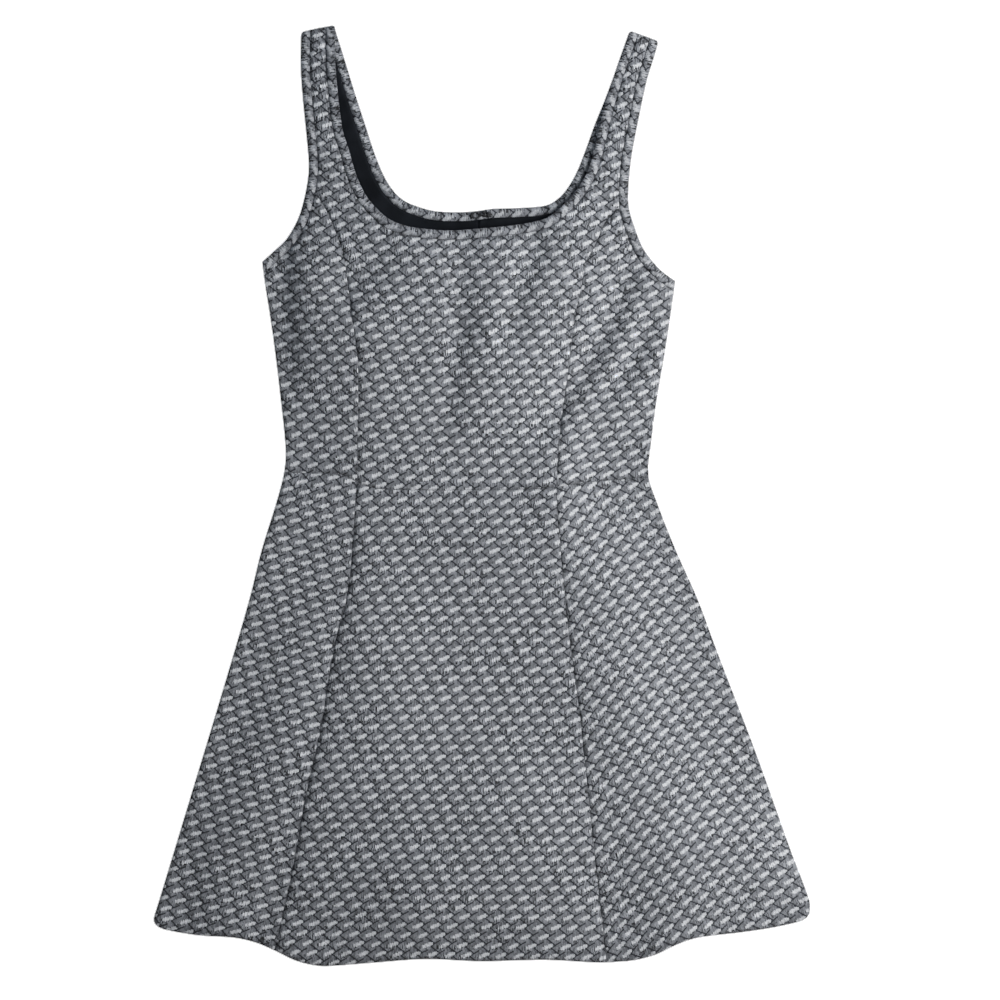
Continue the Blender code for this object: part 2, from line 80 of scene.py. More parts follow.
lay = {
    "loft": 3.4 * mm,          # the front lifts this far off the back inside its edges
    "rounding": 30.0 * mm,     # how far in from a closed edge the front has risen
    "neckRest": (-0.2, 0.3),   # share of the lift that is gone at the neck edge, left and right
    "neckReach": 13.0 * mm,
    "edgeLift": 0.6,           # share of the loft that is there at a closed edge
    "foldFade": 8.0 * mm,
    "foldFaded": 0.8,          # share of a fold that is gone at a closed edge
    "liningRoom": 1.35 * mm,   # least room for the lining under the front
    "liningRoomReach": 8.0 * mm,
    "liningRoomFaded": 0.3,    # share of that room that is gone at a closed edge
    "liningFade": 14.0 * mm,
    "blend": 0.35 * mm,        # softness where the front comes to rest
    "backRoom": 0.6,           # share of the room under the front that a crease of the back may take
    "backRests": 0.25 * mm,    # a crease of the back ends where it is this low
    "backHemShort": 3.0 * mm,
    "strapCorner": 4.0 * mm,
    "leftHemCorner": 9.0 * mm,
    "rightHemCorner": 14.0 * mm,
    "leftLiningReach": 24.5 * mm,
    "rightLiningReach": 18.0 * mm,
    "liningShort": 6.0 * mm,
}

# Cut lines in mm, each with its panel's cloth on the left of its direction
cutLines = {
    "sideLeft": [
        (-206, 224), (-203, 200), (-198, 168), (-193, 132), (-188, 90), (-183.5, 45), (-184.5, 24),
        (-191.5, -4), (-206, -51), (-217.5, -97), (-245, -191), (-273.5, -285), (-302, -379),
        (-308, -398),
    ],
    "sideRight": [
        (310, -398), (307, -379), (289.5, -332), (256, -238), (220, -144), (202.5, -97), (182, -51),
        (163.5, -4), (156, 20), (158, 43), (164, 90), (172, 137), (179, 184), (181.5, 203),
    ],
    "armholeLeft": [
        (-169, 436), (-169.3, 400), (-167.3, 371), (-163.6, 334), (-161.7, 310), (-162.7, 296),
        (-166.4, 277), (-172, 259), (-183, 240), (-193, 230.5), (-205, 219.5),
    ],
    "armholeRight": [
        (181.5, 201), (167, 212), (152, 230.5), (144, 249.5), (138.3, 268), (137.3, 282),
        (140, 315), (147, 352.5), (155, 390), (161, 409), (165.5, 424.5),
    ],
    "shoulderLeft": [(-134, 441.3), (-153, 438), (-172, 433.6)],
    "shoulderRight": [(172, 423.5), (153, 430.6), (134, 437.4)],
    "neckFront": [
        (138, 434), (125, 397), (115.5, 366), (107.5, 333), (100, 306), (92, 291), (83, 279),
        (74, 270), (60, 259.5), (29, 253), (-7, 249.5), (-30, 248), (-52, 249.5), (-69, 252),
        (-85, 258), (-96, 267), (-107, 279.5), (-117, 300), (-124, 324), (-130, 343), (-135, 383),
        (-137, 413), (-137, 436),
    ],
    "neckBack": [
        (138, 434), (125, 397), (115, 370), (106, 348), (97, 323), (88, 301), (78, 285),
        (69, 276.5), (59.5, 272), (36, 270), (9, 269), (-4, 267), (-20, 266), (-44, 267), (-62, 272),
        (-72, 276.5), (-81, 284), (-90.5, 298), (-100, 320.5), (-109, 348), (-118.5, 377),
        (-128, 408), (-137, 436.5),
    ],
    "waist": [
        (-187, 22.5), (-160, 21), (-128, 19.5), (-114, 11), (-97, 7), (-76, 5.6), (0, 5.6),
        (64, 7.5), (92, 12), (125, 15), (160, 17.5),
    ],
    "hem": [
        (-309, -401), (-297, -406), (-269, -411), (-231, -413.5), (-212, -418), (-194, -425.5),
        (-175, -435), (-160, -439.2), (-147, -440.6), (-109, -438), (-53, -434), (0, -436),
        (60, -434.5), (111, -437), (130, -436), (144, -434.5), (163, -429), (181, -420),
        (200, -413.5), (238, -409.5), (275, -404), (310, -396),
    ],
    "princessLeft": [
        (-163, 287), (-155, 282), (-148.6, 273), (-143, 263), (-138, 251), (-132, 235), (-128, 219),
        (-125, 198), (-121, 168), (-116, 133), (-115, 104), (-116, 60), (-116, 14),
    ],
    "princessRight": [
        (70, 10), (73.6, 59), (80, 108), (84, 142), (88.6, 173), (94, 198), (99, 221), (104.5, 231),
        (110, 243), (115, 255), (123, 265), (138, 281),
    ],
    "skirtSeamLeft": [
        (-116, 14), (-118, -4), (-121.5, -57), (-124, -81), (-129, -108), (-135, -128),
        (-143, -169), (-150, -215), (-165, -283), (-173, -328), (-180, -365), (-188, -400),
        (-196, -435),
    ],
    "skirtSeamRight": [
        (118, -445), (114, -407), (105.5, -332), (97, -250), (90.5, -191), (81, -121), (76.4, -74),
        (72, -27), (70, 12),
    ],
    "centreBack": [(-12, 5), (-10, 180), (-1.5, 268)],
    "skirtCentreBack": [(-5, -430), (-10, -150), (-12, 5)],
}
sewnEdges = ("sideLeft", "sideRight", "shoulderLeft", "shoulderRight")
closedEdges = sewnEdges + ("armholeLeft", "armholeRight")

# Soft folds of the laid front: x, y, height at start, middle and end, then half-width, all in mm
folds = [
    (-120, 215, 2.0, -118, 160, 3.2, -124, 90, 2.0, 34),
    (-186, 238, -4.0, -191, 174, -8.0, -184, 105, -3.0, 10),
    (-123, 168, 0.5, -120, 200, -5.0, -72, 228, 1.0, 14),
    (-158, 206, 3.5, -156, 120, 1.0, -161, 40, -2.5, 22),
    (-19, 242, -2.0, -22, 156, -4.2, -33, 67, -2.5, 8),
    (37, 246, -2.0, 24, 202, 1.5, 9, 156, 4.0, 8),
    (49, 231, -5.5, 32, 184, -5.5, 25, 142, -2.5, 10),
    (124, 235, 2.0, 134, 160, 3.5, 96, 78, 3.0, 30),
    (122, 263, -3.0, 111, 184, -4.5, 54, 71, -4.0, 21),
    (140, 219, -3.5, 110, 142, -6.5, 59, 62, -5.0, 9),
    (163, 198, 2.0, 144, 132, -7.0, 100, 79, -2.0, 8),
    (173, 151, 2.5, 156, 111, 2.5, 111, 60, -3.0, 11),
    (94, 60, -1.5, 119, 40, -2.0, 150, 30, 0.5, 18),
    (64, 62, 0.5, 68, 15, 3.5, 74, -50, 1.5, 16),
    (-54, 110, -3.5, -53, 60, -1.5, -64, 20, 0.5, 21),
    (-56, 190, 8.5, -85, 160, 9.0, -59, 125, 8.5, 48),
    (47, 185, 9.5, 56, 160, 7.0, 35, 125, 9.0, 48),
    (-128, -22, -1.5, -143, -163, -2.0, -206, -407, -2.0, 9),
    (-163, -60, -4.0, -202, -210, 0.0, -240, -412, 0.5, 26),
    (-214, -100, -0.5, -223, -180, -3.0, -251, -280, -0.5, 18),
    (-224, -210, -0.5, -265, -304, -2.0, -279, -402, -3.0, 12),
    (-47, -60, -3.0, -40, -135, -1.5, -56, -247, -2.5, 37),
    (-131, -60, 0.5, -83, -200, 3.5, -68, -330, 3.0, 32),
    (12, -40, 3.0, 7, -180, -2.0, 0, -300, 4.0, 48),
    (41, -60, 0.5, 60, -150, 1.0, 72, -250, -2.0, 35),
    (-130, -270, 4.0, -134, -351, 2.0, -137, -436, -4.5, 46),
    (-65, -322, -0.5, -53, -379, 7.0, -40, -436, -7.5, 48),
    (47, -225, 0.5, 50, -320, 6.5, 66, -436, -1.5, 48),
    (94, -116, -0.5, 122, -266, 2.5, 145, -428, -2.5, 31),
    (72, 12, 4.5, 146, -191, 5.5, 186, -415, 8.0, 32),
    (115, 0, -5.0, 159, -90, -3.5, 179, -190, -5.5, 48),
    (236, -285, -1.5, 247, -341, 3.5, 249, -402, -7.0, 48),
]

# Shallow creases where the back lies off the table under the risen front, in the same way
backFolds = [
    (-150, 190, 0.4, -122, 120, 1.8, -130, 50, 0.5, 9),
    (-70, 205, 0.3, -58, 140, 2.0, -74, 70, 0.6, 11),
    (38, 215, 0.4, 52, 150, 1.9, 40, 85, 0.5, 10),
    (140, 170, 0.3, 108, 120, 1.7, 92, 45, 0.6, 9),
    (-120, -40, 0.5, -160, -190, 2.0, -205, -380, 1.2, 13),
    (-48, -50, 0.4, -62, -200, 2.2, -78, -400, 1.4, 15),
    (34, -40, 0.4, 48, -210, 2.1, 44, -405, 1.3, 14),
    (110, -45, 0.5, 142, -200, 2.2, 190, -375, 1.4, 14),
    (-185, -120, 0.3, -225, -250, 1.6, -262, -385, 0.8, 10),
    (160, -90, 0.3, 212, -230, 1.7, 258, -370, 0.9, 11),
]
foldSteps = 12


def curvePoint(before, start, end, after, along):
    span = (end - start).length
    leave = (end - before) * (span / ((start - before).length + span))
    arrive = (after - start) * (span / ((after - end).length + span))
    square, cube = along ** 2, along ** 3
    return (
        start * (2 * cube - 3 * square + 1)
        + leave * (cube - 2 * square + along)
        + end * (3 * square - 2 * cube)
        + arrive * (cube - square)
    )


def smoothPath(rows, step):
    knots = [Vector(row) * mm for row in rows]
    knots.insert(0, knots[0] * 2 - knots[1])
    knots.append(knots[-1] * 2 - knots[-2])
    points = [knots[1]]
    for before, start, end, after in zip(knots, knots[1:], knots[2:], knots[3:]):
        pieces = max(1, round((end - start).length / step))
        for piece in range(1, pieces + 1):
            points.append(curvePoint(before, start, end, after, piece / pieces))
    first = (points[0] - points[1]).normalized() * cloth["overrun"]
    last = (points[-1] - points[-2]).normalized() * cloth["overrun"]
    return [points[0] + first] + points + [points[-1] + last]


def movedLeft(path, distance):
    moved = []
    for index, point in enumerate(path):
        along = (path[min(index + 1, len(path) - 1)] - path[max(index - 1, 0)]).normalized()
        moved.append(point + Vector((-along.y, along.x)) * distance)
    return moved


def crossing(first, second):
    for i in range(len(first) - 1):
        a, ab = first[i], first[i + 1] - first[i]
        for j in range(len(second) - 1):
            c, cd = second[j], second[j + 1] - second[j]
            area = ab.cross(cd)
            if abs(area) < 1e-9 * ab.length * cd.length:
                continue
            along = (c - a).cross(cd) / area
            across = (c - a).cross(ab) / area
            if 0 <= along < 1 and 0 <= across < 1:
                return i + along, j + across, a + ab * along
    raise ValueError("two neighbouring cut lines don't cross")


def roundedCorner(before, corner, after, reach):
    start = corner + (before - corner).normalized() * reach
    end = corner + (after - corner).normalized() * reach
    points = []
    for step in range(cloth["cornerSteps"] + 1):
        along = step / cloth["cornerSteps"]
        points.append(start.lerp(corner, along).lerp(corner.lerp(end, along), along))
    return points


def outlineOf(sides):
    # a side is (cut line, inset, corner reach at its end), and "-" before the name turns it round
    lines, reaches = [], []
    for name, inset, reach in sides:
        line = movedLeft(paths[name.lstrip("-")], inset)
        lines.append(line[::-1] if name.startswith("-") else line)
        reaches.append(reach)
    count = len(lines)
    ends = [crossing(lines[i], lines[(i + 1) % count]) for i in range(count)]
    stretches = []
    for i, line in enumerate(lines):
        inner = line[math.floor(ends[i - 1][1]) + 1:math.ceil(ends[i][0])]
        firstRoom, lastRoom = (
            max(reach * cloth["cornerRoom"], cloth["pathStep"] * cloth["endRoom"])
            for reach in (reaches[i - 1], reaches[i])
        )
        stretches.append([
            point for point in inner
            if (point - ends[i - 1][2]).length > firstRoom and (point - ends[i][2]).length > lastRoom
        ])
    points = []
    for i, stretch in enumerate(stretches):
        points += stretch
        corner = ends[i][2]
        if not reaches[i]:
            points.append(corner)
            continue
        following = stretches[(i + 1) % count] or [ends[(i + 1) % count][2]]
        before = stretch[-1] if stretch else ends[i - 1][2]
        points += roundedCorner(before, corner, following[0], reaches[i])
    return points


paths = {name: smoothPath(rows, cloth["pathStep"]) for name, rows in cutLines.items()}


def nearestOn(points, line):
    # distance from each point to a line, and how far along the line that place is
    best = np.full(len(points), 1e9)
    place = np.zeros(len(points))
    gone = 0.0
    for a, b in zip(line[:-1], line[1:]):
        ab = b - a
        length = float(np.hypot(*ab))
        along = np.clip((points - a) @ ab / length ** 2, 0, 1)
        gap = np.linalg.norm(points - a - along[:, None] * ab, axis=1)
        closer = gap < best
        best = np.where(closer, gap, best)
        place = np.where(closer, gone + along * length, place)
        gone += length
    return best, place


def lineOf(path):
    return np.array([point[:] for point in path])


def nearestEdge(points, names):
    return np.min([nearestOn(points, lineOf(paths[name]))[0] for name in names], axis=0)


def foldHeight(points, row):
    # height that one fold adds at each point, most along its ridge
    start, middle, end = (np.array(row[i:i + 3]) * mm for i in (0, 3, 6))
    t = np.linspace(0, 1, foldSteps + 1)[:, None]
    ridge = start * (1 - t) * (1 - 2 * t) + middle * 4 * t * (1 - t) + end * t * (2 * t - 1)
    gap, place = nearestOn(points, ridge[:, :2])
    lengths = np.linalg.norm(np.diff(ridge[:, :2], axis=0), axis=1)
    height = np.interp(place, np.concatenate([[0], np.cumsum(lengths)]), ridge[:, 2])
    return height * np.exp(-0.5 * (gap / (row[9] * mm)) ** 2)


def frontUnder(points):
    # underside of the front: it rises off the back inside its edges, and makes room for the lining
    edge = nearestEdge(points, closedEdges)
    neck = nearestOn(points, lineOf(paths["neckFront"]))[0]
    settled = 1 - (1 - lay["edgeLift"]) * np.exp(-(edge / lay["rounding"]) ** 2)
    neckRest = np.interp(points[:, 0], (-80 * mm, 80 * mm), lay["neckRest"])
    settled = settled * (1 - neckRest * np.exp(-neck / lay["neckReach"]))
    lift = sum(foldHeight(points, row) for row in folds)
    overLining = np.exp(-(np.maximum(0, neck - lay["leftLiningReach"]) / lay["liningFade"]) ** 2)
    nearEdge = np.exp(-(edge / lay["liningRoomReach"]) ** 2)
    rest = lay["liningRoom"] * overLining * (1 - lay["liningRoomFaded"] * nearEdge)
    risen = lay["loft"] * settled + lift * (1 - lay["foldFaded"] * np.exp(-edge / lay["foldFade"]))
    top = lay["blend"] * np.logaddexp(rest / lay["blend"], risen / lay["blend"])
    return cloth["knit"] + cloth["gap"] + top


def backUnder(points):
    # flat on the table apart from its creases, which stay clear of the front
    room = frontUnder(points) - cloth["knit"] - cloth["gap"]
    raised = sum(foldHeight(points, row) for row in backFolds)
    return np.clip(raised - lay["backRests"], 0, lay["backRoom"] * room)


def addObject(name, data):
    made = bpy.data.objects.new(name, data)
    bpy.context.scene.collection.objects.link(made)
    return made


def addNode(tree, kind, inputs=None, **settings):
    made = tree.nodes.new(kind)
    for name, value in settings.items():
        setattr(made, name, value)
    for name, value in (inputs or {}).items():
        if isinstance(value, bpy.types.NodeSocket):
            tree.links.new(value, made.inputs[name])
        else:
            made.inputs[name].default_value = value
    return made


def maths(tree, operation, *values):
    return addNode(tree, "ShaderNodeMath", dict(enumerate(values)), operation=operation).outputs[0]


def vectorMaths(tree, operation, *values):
    made = addNode(tree, "ShaderNodeVectorMath", dict(enumerate(values)), operation=operation)
    return made.outputs["Value" if operation in ("DOT_PRODUCT", "LENGTH") else "Vector"]


def ramp(tree, value, low, high, toLow=0.0, toHigh=1.0):
    return addNode(
        tree, "ShaderNodeMapRange",
        {"Value": value, "From Min": low, "From Max": high, "To Min": toLow, "To Max": toHigh},
        interpolation_type="SMOOTHSTEP",
    ).outputs["Result"]


def objectPlace(tree):
    return addNode(tree, "ShaderNodeTexCoord").outputs["Object"]


def combine(tree, x, y, z=0.0):
    return addNode(tree, "ShaderNodeCombineXYZ", {"X": x, "Y": y, "Z": z}).outputs[0]


def noise(tree, place, scale, detail):
    return addNode(tree, "ShaderNodeTexNoise", {"Vector": place, "Scale": scale, "Detail": detail}).outputs


def whiteNoise(tree, place):
    return addNode(tree, "ShaderNodeTexWhiteNoise", {"Vector": place}, noise_dimensions="3D").outputs["Value"]


def addBump(tree, shader, height, distance, strength):
    bump = addNode(tree, "ShaderNodeBump", {"Height": height, "Distance": distance, "Strength": strength})
    tree.links.new(bump.outputs["Normal"], shader.inputs["Normal"])


def mixColours(tree, factor, first, second, blend="MIX"):
    made = addNode(tree, "ShaderNodeMix", data_type="RGBA", blend_type=blend)
    for socket, value in ((0, factor), (6, first), (7, second)):
        if isinstance(value, bpy.types.NodeSocket):
            tree.links.new(value, made.inputs[socket])
        else:
            made.inputs[socket].default_value = value
    return made.outputs[2]


def newGroup(name, inputs, outputs):
    tree = bpy.data.node_groups.new(name, "ShaderNodeTree")
    for socket, kind in inputs:
        tree.interface.new_socket(socket, in_out="INPUT", socket_type=kind)
    for socket, kind in outputs:
        tree.interface.new_socket(socket, in_out="OUTPUT", socket_type=kind)
    return tree, addNode(tree, "NodeGroupInput").outputs, addNode(tree, "NodeGroupOutput").inputs


def newMaterial(name, **values):
    made = bpy.data.materials.new(name)
    made.use_nodes = True
    shader = made.node_tree.nodes["Principled BSDF"]
    for socket, value in values.items():
        shader.inputs[socket.replace("_", " ")].default_value = value
    return made, made.node_tree, shader


# The knit: its stitches, and the woven-looking basket repeat drawn in them
stitch = {
    "wale": 1.9,               # mm across and up
    "course": 1.35,
    "slant": 0.55,             # courses that a strand of the V climbs
    "middle": (0.5, 0.8),
    "roundness": 0.6,
    "streak": 0.65,            # share of the tone that runs up the cloth
    "streakRows": 2.5,
}

basket = {
    "across": 16.1,            # mm from one repeat to the next in a row
    "up": (-4.6, 9.25),        # and to the one in the row above
    "fullInside": 0.4,         # share of the softness inside a stroke's edge
}

# strokes of one repeat: x, y of the middle, length, degrees, half-width, softness, strength
strokes = {
    "Pale": [
        (-0.8, 1.0, 9.6, 23.5, 1.35, 0.5, 1.0),
        (-3.6, -0.4, 2.8, 10.0, 1.2, 0.5, 0.9),
    ],
    "Dark": [
        (-9.5, -3.6, 11.5, -37.6, 0.5, 0.5, 1.0),
        (-3.6, -5.5, 7.2, 29.4, 0.5, 0.5, 1.0),
        (-7.4, -8.3, 5.6, 43.0, 0.42, 0.5, 0.9),
        (-10.0, -4.0, 0.4, 0.0, 0.75, 0.6, 1.0),
        (-5.7, -6.8, 0.4, 0.0, 0.75, 0.6, 1.0),
        (-13.5, -0.6, 0.4, 0.0, 0.75, 0.6, 1.0),
    ],
    "Shade": [
        (4.6, -3.9, 4.5, -40.0, 0.9, 1.4, 0.55),
        (0.8, -6.1, 4.0, -5.0, 0.5, 1.4, 0.35),
        (-6.6, -0.4, 2.4, 90.0, 0.3, 0.8, 0.35),
        (-4.6, 2.0, 1.6, 0.0, 0.4, 0.9, 0.25),
        (-2.6, -3.1, 3.0, -40.0, 0.3, 0.8, 0.3),
    ],
    "Ticks": [(-3.4, -0.8, 10.0, 15.0, 2.1, 1.5, 1.0)],  # where single stitches show most
}


def halfWave(tree, value):
    # nothing at each whole number and most halfway between
    return maths(tree, "SINE", maths(tree, "MULTIPLY", maths(tree, "FRACT", value), math.pi))


def makeStitchGroup():
    # splits the cloth into knit stitches, each a V of two strands
    tree, given, out = newGroup(
        "knitStitches", [("Cloth", "NodeSocketVector")],
        [("Middle", "NodeSocketVector"), ("Relief", "NodeSocketFloat"), ("Tone", "NodeSocketFloat")],
    )
    inMm = vectorMaths(tree, "MULTIPLY", given["Cloth"], (1 / mm, 1 / mm, 0))
    place = addNode(tree, "ShaderNodeSeparateXYZ", {0: inMm}).outputs
    column = maths(tree, "DIVIDE", place["X"], stitch["wale"])
    offMiddle = maths(tree, "SUBTRACT", maths(tree, "FRACT", column), 0.5)
    arm = maths(tree, "MULTIPLY", maths(tree, "ABSOLUTE", offMiddle), 2.0)
    row = maths(tree, "DIVIDE", place["Y"], stitch["course"])
    row = maths(tree, "MULTIPLY_ADD", arm, -stitch["slant"], row)
    wholeRow = maths(tree, "FLOOR", row)
    cell = combine(tree, maths(tree, "FLOOR", column), wholeRow)
    middle = vectorMaths(tree, "ADD", cell, (*stitch["middle"], 0))
    middle = vectorMaths(tree, "MULTIPLY", middle, (stitch["wale"], stitch["course"], 0))
    tree.links.new(middle, out["Middle"])
    strandColumn = maths(tree, "MULTIPLY", column, 2.0)
    strand = halfWave(tree, strandColumn)
    relief = maths(tree, "POWER", maths(tree, "MULTIPLY", strand, halfWave(tree, row)), stitch["roundness"])
    tree.links.new(relief, out["Relief"])
    arms = combine(tree, maths(tree, "FLOOR", strandColumn), wholeRow)
    streaks = vectorMaths(tree, "MULTIPLY", arms, (1, 1 / stitch["streakRows"], 0))
    streaks = vectorMaths(tree, "FLOOR", streaks)
    tone = maths(
        tree, "ADD", maths(tree, "MULTIPLY", whiteNoise(tree, arms), 1 - stitch["streak"]),
        maths(tree, "MULTIPLY", whiteNoise(tree, streaks), stitch["streak"]),
    )
    tree.links.new(tone, out["Tone"])
    return tree


def addStroke(tree, lattice, row):
    # how near a place is to one stroke, with the repeat wrapped round it
    x, y, length, degrees, halfWidth, softness, strength = row
    upX, upY = basket["up"]
    t = y / upY
    s = (x - t * upX) / basket["across"]
    shifted = vectorMaths(tree, "SUBTRACT", lattice, (s - 0.5, t - 0.5, 0))
    wrapped = vectorMaths(tree, "SUBTRACT", vectorMaths(tree, "FRACTION", shifted), (0.5, 0.5, 0))
    cos, sin = math.cos(math.radians(degrees)), math.sin(math.radians(degrees))
    along = vectorMaths(tree, "DOT_PRODUCT", wrapped, (basket["across"] * cos, upX * cos + upY * sin, 0))
    across = vectorMaths(tree, "DOT_PRODUCT", wrapped, (-basket["across"] * sin, upY * cos - upX * sin, 0))
    straight = max(0.0, length / 2 - halfWidth)
    beyond = maths(tree, "SUBTRACT", maths(tree, "ABSOLUTE", along), straight)
    distance = vectorMaths(tree, "LENGTH", combine(tree, maths(tree, "MAXIMUM", beyond, 0.0), across))
    full = halfWidth - softness * basket["fullInside"]
    return ramp(tree, distance, halfWidth + softness, full, 0.0, strength)


def addStrokes(tree, lattice, rows):
    total = 0.0
    for row in rows:
        total = maths(tree, "MAXIMUM", total, addStroke(tree, lattice, row))
    return total


def makeBasketGroup():
    tree, given, out = newGroup(
        "basketRepeat", [("Place", "NodeSocketVector")],
        [(name, "NodeSocketFloat") for name in strokes],
    )
    upX, upY = basket["up"]
    perAcross = 1 / basket["across"]
    s = vectorMaths(tree, "DOT_PRODUCT", given["Place"], (perAcross, -upX / upY * perAcross, 0))
    t = vectorMaths(tree, "DOT_PRODUCT", given["Place"], (0, 1 / upY, 0))
    lattice = combine(tree, s, t)
    for name, rows in strokes.items():
        tree.links.new(addStrokes(tree, lattice, rows), out[name])
    return tree


stitchGroup = makeStitchGroup()
basketGroup = makeBasketGroup()

yarn = {
    "grey": (0.124, 0.1305, 0.1445, 1),
    "shade": (0.058, 0.0625, 0.073, 1),
    "black": (0.0075, 0.0088, 0.0125, 1),
    "white": (0.495, 0.513, 0.545, 1),
    "fleck": 0.42,             # how far single stitches stray from the yarn's tone
    "tickFleck": 1.0,
    "paleFleck": 0.4,
    "patches": (0.65, 1.25),   # least and most of it from patch to patch
    "patchScale": 28.0,
    "bodiceFleck": 1.45,       # and this much more on the bodice
    "bodiceHeights": (0.12, 0.36),
    "darkest": 0.06,
    "paintedGapShade": 0.35,              # painted shade between the strands: how much darker the colour is there
    "wander": 0.3,             # mm that the lines of the repeat stray
    "wanderScale": 140.0,
    "drawn": (0.15, 0.75),     # how far soft and crisp strokes cut across single stitches
    "relief": 0.4 * mm,
    "reliefStrength": 0.6,
    "strokeRelief": 0.7,       # how far pale strokes stand out and dark ones sink, in stitches
}


def makeKnit(name, shift, squeeze, fleck, paleShare, rimShade):
    # grey ground with pale strokes between black lines, drawn stitch by stitch and wandering a little
    made, tree, shader = newMaterial(
        name, Roughness=0.92, Specular_IOR_Level=0.25, Sheen_Weight=0.08, Sheen_Roughness=0.5)
    place = addNode(tree, "ShaderNodeUVMap", uv_map="cloth").outputs["UV"]
    stitches = addNode(tree, "ShaderNodeGroup", {"Cloth": place}, node_tree=stitchGroup).outputs
    drift = noise(tree, place, yarn["wanderScale"], 1.0)["Color"]
    drift = vectorMaths(tree, "SUBTRACT", drift, (0.5, 0.5, 0))
    drift = vectorMaths(tree, "MULTIPLY", drift, (yarn["wander"] * 2, yarn["wander"] * 2, 0))
    drawn = vectorMaths(tree, "MULTIPLY", place, (1 / mm, 1 / mm, 0))
    repeats = []
    for share in yarn["drawn"]:
        spot = addNode(tree, "ShaderNodeMix", data_type="VECTOR")
        spot.inputs[0].default_value = share
        tree.links.new(stitches["Middle"], spot.inputs[4])
        tree.links.new(drawn, spot.inputs[5])
        spot = vectorMaths(tree, "ADD", spot.outputs[1], drift)
        spot = vectorMaths(tree, "MULTIPLY", vectorMaths(tree, "ADD", spot, (*shift, 0)), (1, squeeze, 0))
        repeats.append(addNode(tree, "ShaderNodeGroup", {"Place": spot}, node_tree=basketGroup).outputs)
    soft, crisp = repeats
    colour = mixColours(tree, soft["Shade"], yarn["grey"], yarn["shade"])
    colour = mixColours(tree, crisp["Dark"], colour, yarn["black"])
    colour = mixColours(tree, maths(tree, "MULTIPLY", soft["Pale"], paleShare), colour, yarn["white"])
    stray = maths(tree, "MULTIPLY_ADD", soft["Ticks"], yarn["tickFleck"] - yarn["fleck"], yarn["fleck"])
    stray = maths(tree, "MULTIPLY_ADD", soft["Pale"], yarn["paleFleck"] - yarn["tickFleck"], stray)
    up = addNode(tree, "ShaderNodeSeparateXYZ", {0: objectPlace(tree)}).outputs["Y"]
    bodice = ramp(tree, up, *yarn["bodiceHeights"], fleck, fleck * yarn["bodiceFleck"])
    stray = maths(tree, "MULTIPLY", stray, bodice)
    patch = ramp(tree, noise(tree, place, yarn["patchScale"], 1.0)["Fac"], 0.35, 0.65, *yarn["patches"])
    stray = maths(tree, "MULTIPLY", stray, patch)
    tone = maths(tree, "MULTIPLY_ADD", ramp(tree, stitches["Tone"], 0.15, 0.85, -1.0, 1.0), stray, 1.0)
    tone = maths(tree, "MAXIMUM", tone, yarn["darkest"])
    # painted shade in the gaps between the strands
    tone = maths(tree, "MULTIPLY", tone, ramp(tree, stitches["Relief"], 0.1, 0.7, 1 - yarn["paintedGapShade"], 1.0))
    # painted shade at the rims and beside the seams, darkening the colour
    paintedRimShade = addNode(tree, "ShaderNodeAttribute", attribute_name="paintedRimShade").outputs["Fac"]
    tone = maths(tree, "MULTIPLY", tone, maths(tree, "MULTIPLY_ADD", paintedRimShade, -rimShade, 1.0))
    colour = mixColours(tree, 1.0, colour, combine(tree, tone, tone, tone), "MULTIPLY")
    tree.links.new(colour, shader.inputs["Base Color"])
    height = maths(tree, "MULTIPLY_ADD", soft["Pale"], yarn["strokeRelief"], stitches["Relief"])
    height = maths(tree, "MULTIPLY_ADD", crisp["Dark"], -yarn["strokeRelief"], height)
    addBump(tree, shader, height, yarn["relief"], yarn["reliefStrength"])
    return made


liningLook = {
    "dark": (0.002, 0.0026, 0.0036, 1),
    "pale": (0.0045, 0.0054, 0.0072, 1),
    "cloudScale": 45.0,
    "weaveScale": 900.0,
    "weaveRelief": 0.05 * mm,
}


def makeLiningCloth():
    made, tree, shader = newMaterial("blackLining", Roughness=0.85, Specular_IOR_Level=0.06)
    place = objectPlace(tree)
    cloud = ramp(tree, noise(tree, place, liningLook["cloudScale"], 3.0)["Fac"], 0.3, 0.7)
    colour = mixColours(tree, cloud, liningLook["dark"], liningLook["pale"])
    tree.links.new(colour, shader.inputs["Base Color"])
    weave = addNode(
        tree, "ShaderNodeTexWave", {"Vector": place, "Scale": liningLook["weaveScale"]},
        bands_direction="DIAGONAL",
    ).outputs["Fac"]
    addBump(tree, shader, weave, liningLook["weaveRelief"], 0.4)
    return made


enamelLook = {
    "black": (0.012, 0.012, 0.013, 1),
    "worn": (0.05, 0.05, 0.05, 1),
    "wearScale": 1500.0,
    "roughness": (0.28, 0.5),
}


def makeEnamel():
    made, tree, shader = newMaterial("blackEnamel", Roughness=0.35, Metallic=0.4, Specular_IOR_Level=0.5)
    wear = noise(tree, objectPlace(tree), enamelLook["wearScale"], 2.0)["Fac"]
    colour = mixColours(tree, ramp(tree, wear, 0.55, 0.75), enamelLook["black"], enamelLook["worn"])
    tree.links.new(colour, shader.inputs["Base Color"])
    tree.links.new(ramp(tree, wear, 0.2, 0.8, *enamelLook["roughness"]), shader.inputs["Roughness"])
    return made


# for each thread, the dark and the pale of its twist
cotton = {
    "seam": ((0.018, 0.019, 0.023, 1), (0.075, 0.079, 0.09, 1)),
    "hook": ((0.006, 0.0062, 0.007, 1), (0.035, 0.037, 0.042, 1)),
    "twistScale": 900.0,
    "twistRelief": 0.1 * mm,
}


